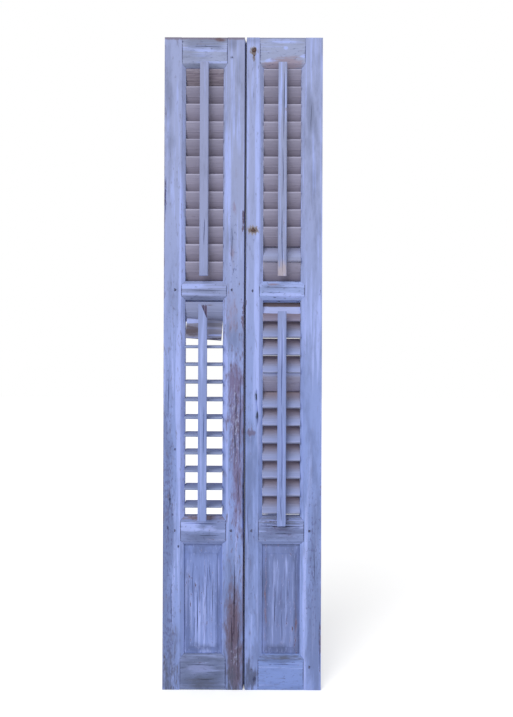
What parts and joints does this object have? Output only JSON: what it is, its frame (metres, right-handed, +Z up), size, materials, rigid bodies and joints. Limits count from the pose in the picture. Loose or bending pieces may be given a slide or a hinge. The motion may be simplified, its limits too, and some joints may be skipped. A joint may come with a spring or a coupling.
{
  "type": "louvred window shutter",
  "caption": "Tall weathered pair of louvred shutter leaves with tilting slats on tilt bars above fielded panels, swinging on butt hinges.",
  "frame": {"origin": "lower edge of the closed pair, midway between its outer edges and between the leaves' faces", "axes": "+Z up, room side toward -Y, the leaves open toward +Y"},
  "size_m": [0.537, 0.0978, 2.2008],
  "materials": {
    "painted_frame": "worn blue-grey paint",
    "painted_slats": "worn blue-grey paint",
    "worn_slats": "thin mauve-grey remains of paint",
    "iron": "old iron"
  },
  "bodies": {
    "window_frame_side": {"frame_hinge_halves": "iron"},
    "left_leaf": {"left_hinge_stile": "painted_frame", "left_meeting_stile": "painted_frame", "left_top_rail": "painted_frame", "left_middle_rail": "painted_frame", "left_lock_rail": "painted_frame", "left_bottom_rail": "painted_frame", "left_panel": "painted_frame", "left_hinge_halves": "iron", "left_stuck_slats": "worn_slats"},
    "right_leaf": {"right_hinge_stile": "painted_frame", "right_meeting_stile": "painted_frame", "right_top_rail": "painted_frame", "right_middle_rail": "painted_frame", "right_lock_rail": "painted_frame", "right_bottom_rail": "painted_frame", "right_panel": "painted_frame", "right_hinge_halves": "iron", "right_stuck_slats": "worn_slats"},
    "upper_left_slat_06": {"upper_left_slat_06": "worn_slats"},
    "upper_left_slat_02": {"upper_left_slat_02": "worn_slats"},
    "upper_left_slat_03": {"upper_left_slat_03": "worn_slats"},
    "upper_left_slat_04": {"upper_left_slat_04": "worn_slats"},
    "upper_left_slat_05": {"upper_left_slat_05": "worn_slats"},
    "upper_left_slat_07": {"upper_left_slat_07": "worn_slats"},
    "upper_left_slat_08": {"upper_left_slat_08": "worn_slats"},
    "upper_left_slat_09": {"upper_left_slat_09": "worn_slats"},
    "upper_left_slat_10": {"upper_left_slat_10": "worn_slats"},
    "upper_left_tilt_bar": {"upper_left_tilt_bar": "painted_frame"},
    "upper_right_slat_06": {"upper_right_slat_06": "worn_slats"},
    "upper_right_slat_02": {"upper_right_slat_02": "worn_slats"},
    "upper_right_slat_03": {"upper_right_slat_03": "worn_slats"},
    "upper_right_slat_04": {"upper_right_slat_04": "worn_slats"},
    "upper_right_slat_05": {"upper_right_slat_05": "worn_slats"},
    "upper_right_slat_07": {"upper_right_slat_07": "worn_slats"},
    "upper_right_slat_08": {"upper_right_slat_08": "worn_slats"},
    "upper_right_slat_09": {"upper_right_slat_09": "worn_slats"},
    "upper_right_slat_10": {"upper_right_slat_10": "worn_slats"},
    "upper_right_tilt_bar": {"upper_right_tilt_bar": "painted_frame"},
    "lower_left_slat_07": {"lower_left_slat_07": "painted_slats"},
    "lower_left_slat_03": {"lower_left_slat_03": "painted_slats"},
    "lower_left_slat_04": {"lower_left_slat_04": "painted_slats"},
    "lower_left_slat_05": {"lower_left_slat_05": "painted_slats"},
    "lower_left_slat_06": {"lower_left_slat_06": "painted_slats"},
    "lower_left_slat_08": {"lower_left_slat_08": "painted_slats"},
    "lower_left_slat_09": {"lower_left_slat_09": "painted_slats"},
    "lower_left_slat_10": {"lower_left_slat_10": "painted_slats"},
    "lower_left_slat_11": {"lower_left_slat_11": "painted_slats"},
    "lower_left_slat_12": {"lower_left_slat_12": "painted_slats"},
    "lower_left_tilt_bar": {"lower_left_tilt_bar": "painted_frame"},
    "lower_right_slat_07": {"lower_right_slat_07": "painted_slats"},
    "lower_right_slat_02": {"lower_right_slat_02": "painted_slats"},
    "lower_right_slat_03": {"lower_right_slat_03": "painted_slats"},
    "lower_right_slat_04": {"lower_right_slat_04": "painted_slats"},
    "lower_right_slat_06": {"lower_right_slat_06": "painted_slats"},
    "lower_right_slat_08": {"lower_right_slat_08": "painted_slats"},
    "lower_right_slat_09": {"lower_right_slat_09": "painted_slats"},
    "lower_right_slat_10": {"lower_right_slat_10": "painted_slats"},
    "lower_right_slat_11": {"lower_right_slat_11": "painted_slats"},
    "lower_right_tilt_bar": {"lower_right_tilt_bar": "painted_frame"}
  },
  "joints": [
    {"name": "left_leaf_swing", "type": "hinge", "parent": "window_frame_side", "child": "left_leaf", "pos_m": [-0.264, 0.024, 1.1], "axis": [0, 0, 1], "range_deg": [0, 175]},
    {"name": "right_leaf_swing", "type": "hinge", "parent": "window_frame_side", "child": "right_leaf", "pos_m": [0.264, 0.024, 1.1], "axis": [0, 0, -1], "range_deg": [0, 175]},
    {"name": "upper_left_slat_06_tilt", "type": "hinge", "parent": "left_leaf", "child": "upper_left_slat_06", "pos_m": [-0.1315, 0, 1.7688], "axis": [-1, 0, 0], "range_deg": [-126, 2]},
    {"name": "upper_left_slat_02_tilt", "type": "hinge", "parent": "left_leaf", "child": "upper_left_slat_02", "pos_m": [-0.1315, 0, 2.0064], "axis": [-1, 0, 0], "range_deg": [-126, 2]},
    {"name": "upper_left_slat_03_tilt", "type": "hinge", "parent": "left_leaf", "child": "upper_left_slat_03", "pos_m": [-0.1315, 0, 1.947], "axis": [-1, 0, 0], "range_deg": [-126, 2]},
    {"name": "upper_left_slat_04_tilt", "type": "hinge", "parent": "left_leaf", "child": "upper_left_slat_04", "pos_m": [-0.1315, 0, 1.8876], "axis": [-1, 0, 0], "range_deg": [-126, 2]},
    {"name": "upper_left_slat_05_tilt", "type": "hinge", "parent": "left_leaf", "child": "upper_left_slat_05", "pos_m": [-0.1315, 0, 1.8282], "axis": [-1, 0, 0], "range_deg": [-126, 2]},
    {"name": "upper_left_slat_07_tilt", "type": "hinge", "parent": "left_leaf", "child": "upper_left_slat_07", "pos_m": [-0.1315, 0, 1.7094], "axis": [-1, 0, 0], "range_deg": [-126, 2]},
    {"name": "upper_left_slat_08_tilt", "type": "hinge", "parent": "left_leaf", "child": "upper_left_slat_08", "pos_m": [-0.1315, 0, 1.65], "axis": [-1, 0, 0], "range_deg": [-126, 2]},
    {"name": "upper_left_slat_09_tilt", "type": "hinge", "parent": "left_leaf", "child": "upper_left_slat_09", "pos_m": [-0.1315, 0, 1.5906], "axis": [-1, 0, 0], "range_deg": [-126, 2]},
    {"name": "upper_left_slat_10_tilt", "type": "hinge", "parent": "left_leaf", "child": "upper_left_slat_10", "pos_m": [-0.1315, 0, 1.5312], "axis": [-1, 0, 0], "range_deg": [-126, 2]},
    {"name": "upper_left_tilt_bar_link", "type": "hinge", "parent": "upper_left_slat_06", "child": "upper_left_tilt_bar", "pos_m": [-0.1315, -0.01335, 1.80757], "axis": [-1, 0, 0], "range_deg": [-2, 126]},
    {"name": "upper_right_slat_06_tilt", "type": "hinge", "parent": "right_leaf", "child": "upper_right_slat_06", "pos_m": [0.1315, 0, 1.7688], "axis": [-1, 0, 0], "range_deg": [-126, 2]},
    {"name": "upper_right_slat_02_tilt", "type": "hinge", "parent": "right_leaf", "child": "upper_right_slat_02", "pos_m": [0.1315, 0, 2.0064], "axis": [-1, 0, 0], "range_deg": [-126, 2]},
    {"name": "upper_right_slat_03_tilt", "type": "hinge", "parent": "right_leaf", "child": "upper_right_slat_03", "pos_m": [0.1315, 0, 1.947], "axis": [-1, 0, 0], "range_deg": [-126, 2]},
    {"name": "upper_right_slat_04_tilt", "type": "hinge", "parent": "right_leaf", "child": "upper_right_slat_04", "pos_m": [0.1315, 0, 1.8876], "axis": [-1, 0, 0], "range_deg": [-126, 2]},
    {"name": "upper_right_slat_05_tilt", "type": "hinge", "parent": "right_leaf", "child": "upper_right_slat_05", "pos_m": [0.1315, 0, 1.8282], "axis": [-1, 0, 0], "range_deg": [-126, 2]},
    {"name": "upper_right_slat_07_tilt", "type": "hinge", "parent": "right_leaf", "child": "upper_right_slat_07", "pos_m": [0.1315, 0, 1.7094], "axis": [-1, 0, 0], "range_deg": [-126, 2]},
    {"name": "upper_right_slat_08_tilt", "type": "hinge", "parent": "right_leaf", "child": "upper_right_slat_08", "pos_m": [0.1315, 0, 1.65], "axis": [-1, 0, 0], "range_deg": [-126, 2]},
    {"name": "upper_right_slat_09_tilt", "type": "hinge", "parent": "right_leaf", "child": "upper_right_slat_09", "pos_m": [0.1315, 0, 1.5906], "axis": [-1, 0, 0], "range_deg": [-126, 2]},
    {"name": "upper_right_slat_10_tilt", "type": "hinge", "parent": "right_leaf", "child": "upper_right_slat_10", "pos_m": [0.1315, 0, 1.5312], "axis": [-1, 0, 0], "range_deg": [-126, 2]},
    {"name": "upper_right_tilt_bar_link", "type": "hinge", "parent": "upper_right_slat_06", "child": "upper_right_tilt_bar", "pos_m": [0.1315, -0.01335, 1.80757], "axis": [-1, 0, 0], "range_deg": [-2, 126]},
    {"name": "lower_left_slat_07_tilt", "type": "hinge", "parent": "left_leaf", "child": "lower_left_slat_07", "pos_m": [-0.1315, 0, 0.919], "axis": [-1, 0, 0], "range_deg": [-58, 52]},
    {"name": "lower_left_slat_03_tilt", "type": "hinge", "parent": "left_leaf", "child": "lower_left_slat_03", "pos_m": [-0.1315, 0, 1.1566], "axis": [-1, 0, 0], "range_deg": [-58, 52]},
    {"name": "lower_left_slat_04_tilt", "type": "hinge", "parent": "left_leaf", "child": "lower_left_slat_04", "pos_m": [-0.1315, 0, 1.0972], "axis": [-1, 0, 0], "range_deg": [-58, 52]},
    {"name": "lower_left_slat_05_tilt", "type": "hinge", "parent": "left_leaf", "child": "lower_left_slat_05", "pos_m": [-0.1315, 0, 1.0378], "axis": [-1, 0, 0], "range_deg": [-58, 52]},
    {"name": "lower_left_slat_06_tilt", "type": "hinge", "parent": "left_leaf", "child": "lower_left_slat_06", "pos_m": [-0.1315, 0, 0.9784], "axis": [-1, 0, 0], "range_deg": [-58, 52]},
    {"name": "lower_left_slat_08_tilt", "type": "hinge", "parent": "left_leaf", "child": "lower_left_slat_08", "pos_m": [-0.1315, 0, 0.8596], "axis": [-1, 0, 0], "range_deg": [-58, 52]},
    {"name": "lower_left_slat_09_tilt", "type": "hinge", "parent": "left_leaf", "child": "lower_left_slat_09", "pos_m": [-0.1315, 0, 0.8002], "axis": [-1, 0, 0], "range_deg": [-58, 52]},
    {"name": "lower_left_slat_10_tilt", "type": "hinge", "parent": "left_leaf", "child": "lower_left_slat_10", "pos_m": [-0.1315, 0, 0.7408], "axis": [-1, 0, 0], "range_deg": [-58, 52]},
    {"name": "lower_left_slat_11_tilt", "type": "hinge", "parent": "left_leaf", "child": "lower_left_slat_11", "pos_m": [-0.1315, 0, 0.6814], "axis": [-1, 0, 0], "range_deg": [-58, 52]},
    {"name": "lower_left_slat_12_tilt", "type": "hinge", "parent": "left_leaf", "child": "lower_left_slat_12", "pos_m": [-0.1315, 0, 0.622], "axis": [-1, 0, 0], "range_deg": [-58, 52]},
    {"name": "lower_left_tilt_bar_link", "type": "hinge", "parent": "lower_left_slat_07", "child": "lower_left_tilt_bar", "pos_m": [-0.1315, -0.0409, 0.91614], "axis": [-1, 0, 0], "range_deg": [-52, 58]},
    {"name": "lower_right_slat_07_tilt", "type": "hinge", "parent": "right_leaf", "child": "lower_right_slat_07", "pos_m": [0.1315, 0, 0.919], "axis": [-1, 0, 0], "range_deg": [-1, 106]},
    {"name": "lower_right_slat_02_tilt", "type": "hinge", "parent": "right_leaf", "child": "lower_right_slat_02", "pos_m": [0.1315, 0, 1.216], "axis": [-1, 0, 0], "range_deg": [-1, 106]},
    {"name": "lower_right_slat_03_tilt", "type": "hinge", "parent": "right_leaf", "child": "lower_right_slat_03", "pos_m": [0.1315, 0, 1.1566], "axis": [-1, 0, 0], "range_deg": [-1, 106]},
    {"name": "lower_right_slat_04_tilt", "type": "hinge", "parent": "right_leaf", "child": "lower_right_slat_04", "pos_m": [0.1315, 0, 1.0972], "axis": [-1, 0, 0], "range_deg": [-1, 106]},
    {"name": "lower_right_slat_06_tilt", "type": "hinge", "parent": "right_leaf", "child": "lower_right_slat_06", "pos_m": [0.1315, 0, 0.9784], "axis": [-1, 0, 0], "range_deg": [-1, 106]},
    {"name": "lower_right_slat_08_tilt", "type": "hinge", "parent": "right_leaf", "child": "lower_right_slat_08", "pos_m": [0.1315, 0, 0.8596], "axis": [-1, 0, 0], "range_deg": [-1, 106]},
    {"name": "lower_right_slat_09_tilt", "type": "hinge", "parent": "right_leaf", "child": "lower_right_slat_09", "pos_m": [0.1315, 0, 0.8002], "axis": [-1, 0, 0], "range_deg": [-1, 106]},
    {"name": "lower_right_slat_10_tilt", "type": "hinge", "parent": "right_leaf", "child": "lower_right_slat_10", "pos_m": [0.1315, 0, 0.7408], "axis": [-1, 0, 0], "range_deg": [-1, 106]},
    {"name": "lower_right_slat_11_tilt", "type": "hinge", "parent": "right_leaf", "child": "lower_right_slat_11", "pos_m": [0.1315, 0, 0.6814], "axis": [-1, 0, 0], "range_deg": [-1, 106]},
    {"name": "lower_right_tilt_bar_link", "type": "hinge", "parent": "lower_right_slat_07", "child": "lower_right_tilt_bar", "pos_m": [0.1315, -0.02173, 0.88423], "axis": [-1, 0, 0], "range_deg": [-106, 1]}
  ],
  "couplings": [
    {"joint": "upper_left_slat_02_tilt", "follows": "upper_left_slat_06_tilt", "ratio": 1},
    {"joint": "upper_left_slat_03_tilt", "follows": "upper_left_slat_06_tilt", "ratio": 1},
    {"joint": "upper_left_slat_04_tilt", "follows": "upper_left_slat_06_tilt", "ratio": 1},
    {"joint": "upper_left_slat_05_tilt", "follows": "upper_left_slat_06_tilt", "ratio": 1},
    {"joint": "upper_left_slat_07_tilt", "follows": "upper_left_slat_06_tilt", "ratio": 1},
    {"joint": "upper_left_slat_08_tilt", "follows": "upper_left_slat_06_tilt", "ratio": 1},
    {"joint": "upper_left_slat_09_tilt", "follows": "upper_left_slat_06_tilt", "ratio": 1},
    {"joint": "upper_left_slat_10_tilt", "follows": "upper_left_slat_06_tilt", "ratio": 1},
    {"joint": "upper_left_tilt_bar_link", "follows": "upper_left_slat_06_tilt", "ratio": -1},
    {"joint": "upper_right_slat_02_tilt", "follows": "upper_right_slat_06_tilt", "ratio": 1},
    {"joint": "upper_right_slat_03_tilt", "follows": "upper_right_slat_06_tilt", "ratio": 1},
    {"joint": "upper_right_slat_04_tilt", "follows": "upper_right_slat_06_tilt", "ratio": 1},
    {"joint": "upper_right_slat_05_tilt", "follows": "upper_right_slat_06_tilt", "ratio": 1},
    {"joint": "upper_right_slat_07_tilt", "follows": "upper_right_slat_06_tilt", "ratio": 1},
    {"joint": "upper_right_slat_08_tilt", "follows": "upper_right_slat_06_tilt", "ratio": 1},
    {"joint": "upper_right_slat_09_tilt", "follows": "upper_right_slat_06_tilt", "ratio": 1},
    {"joint": "upper_right_slat_10_tilt", "follows": "upper_right_slat_06_tilt", "ratio": 1},
    {"joint": "upper_right_tilt_bar_link", "follows": "upper_right_slat_06_tilt", "ratio": -1},
    {"joint": "lower_left_slat_03_tilt", "follows": "lower_left_slat_07_tilt", "ratio": 1},
    {"joint": "lower_left_slat_04_tilt", "follows": "lower_left_slat_07_tilt", "ratio": 1},
    {"joint": "lower_left_slat_05_tilt", "follows": "lower_left_slat_07_tilt", "ratio": 1},
    {"joint": "lower_left_slat_06_tilt", "follows": "lower_left_slat_07_tilt", "ratio": 1},
    {"joint": "lower_left_slat_08_tilt", "follows": "lower_left_slat_07_tilt", "ratio": 1},
    {"joint": "lower_left_slat_09_tilt", "follows": "lower_left_slat_07_tilt", "ratio": 1},
    {"joint": "lower_left_slat_10_tilt", "follows": "lower_left_slat_07_tilt", "ratio": 1},
    {"joint": "lower_left_slat_11_tilt", "follows": "lower_left_slat_07_tilt", "ratio": 1},
    {"joint": "lower_left_slat_12_tilt", "follows": "lower_left_slat_07_tilt", "ratio": 1},
    {"joint": "lower_left_tilt_bar_link", "follows": "lower_left_slat_07_tilt", "ratio": -1},
    {"joint": "lower_right_slat_02_tilt", "follows": "lower_right_slat_07_tilt", "ratio": 1},
    {"joint": "lower_right_slat_03_tilt", "follows": "lower_right_slat_07_tilt", "ratio": 1},
    {"joint": "lower_right_slat_04_tilt", "follows": "lower_right_slat_07_tilt", "ratio": 1},
    {"joint": "lower_right_slat_06_tilt", "follows": "lower_right_slat_07_tilt", "ratio": 1},
    {"joint": "lower_right_slat_08_tilt", "follows": "lower_right_slat_07_tilt", "ratio": 1},
    {"joint": "lower_right_slat_09_tilt", "follows": "lower_right_slat_07_tilt", "ratio": 1},
    {"joint": "lower_right_slat_10_tilt", "follows": "lower_right_slat_07_tilt", "ratio": 1},
    {"joint": "lower_right_slat_11_tilt", "follows": "lower_right_slat_07_tilt", "ratio": 1},
    {"joint": "lower_right_tilt_bar_link", "follows": "lower_right_slat_07_tilt", "ratio": -1}
  ]
}
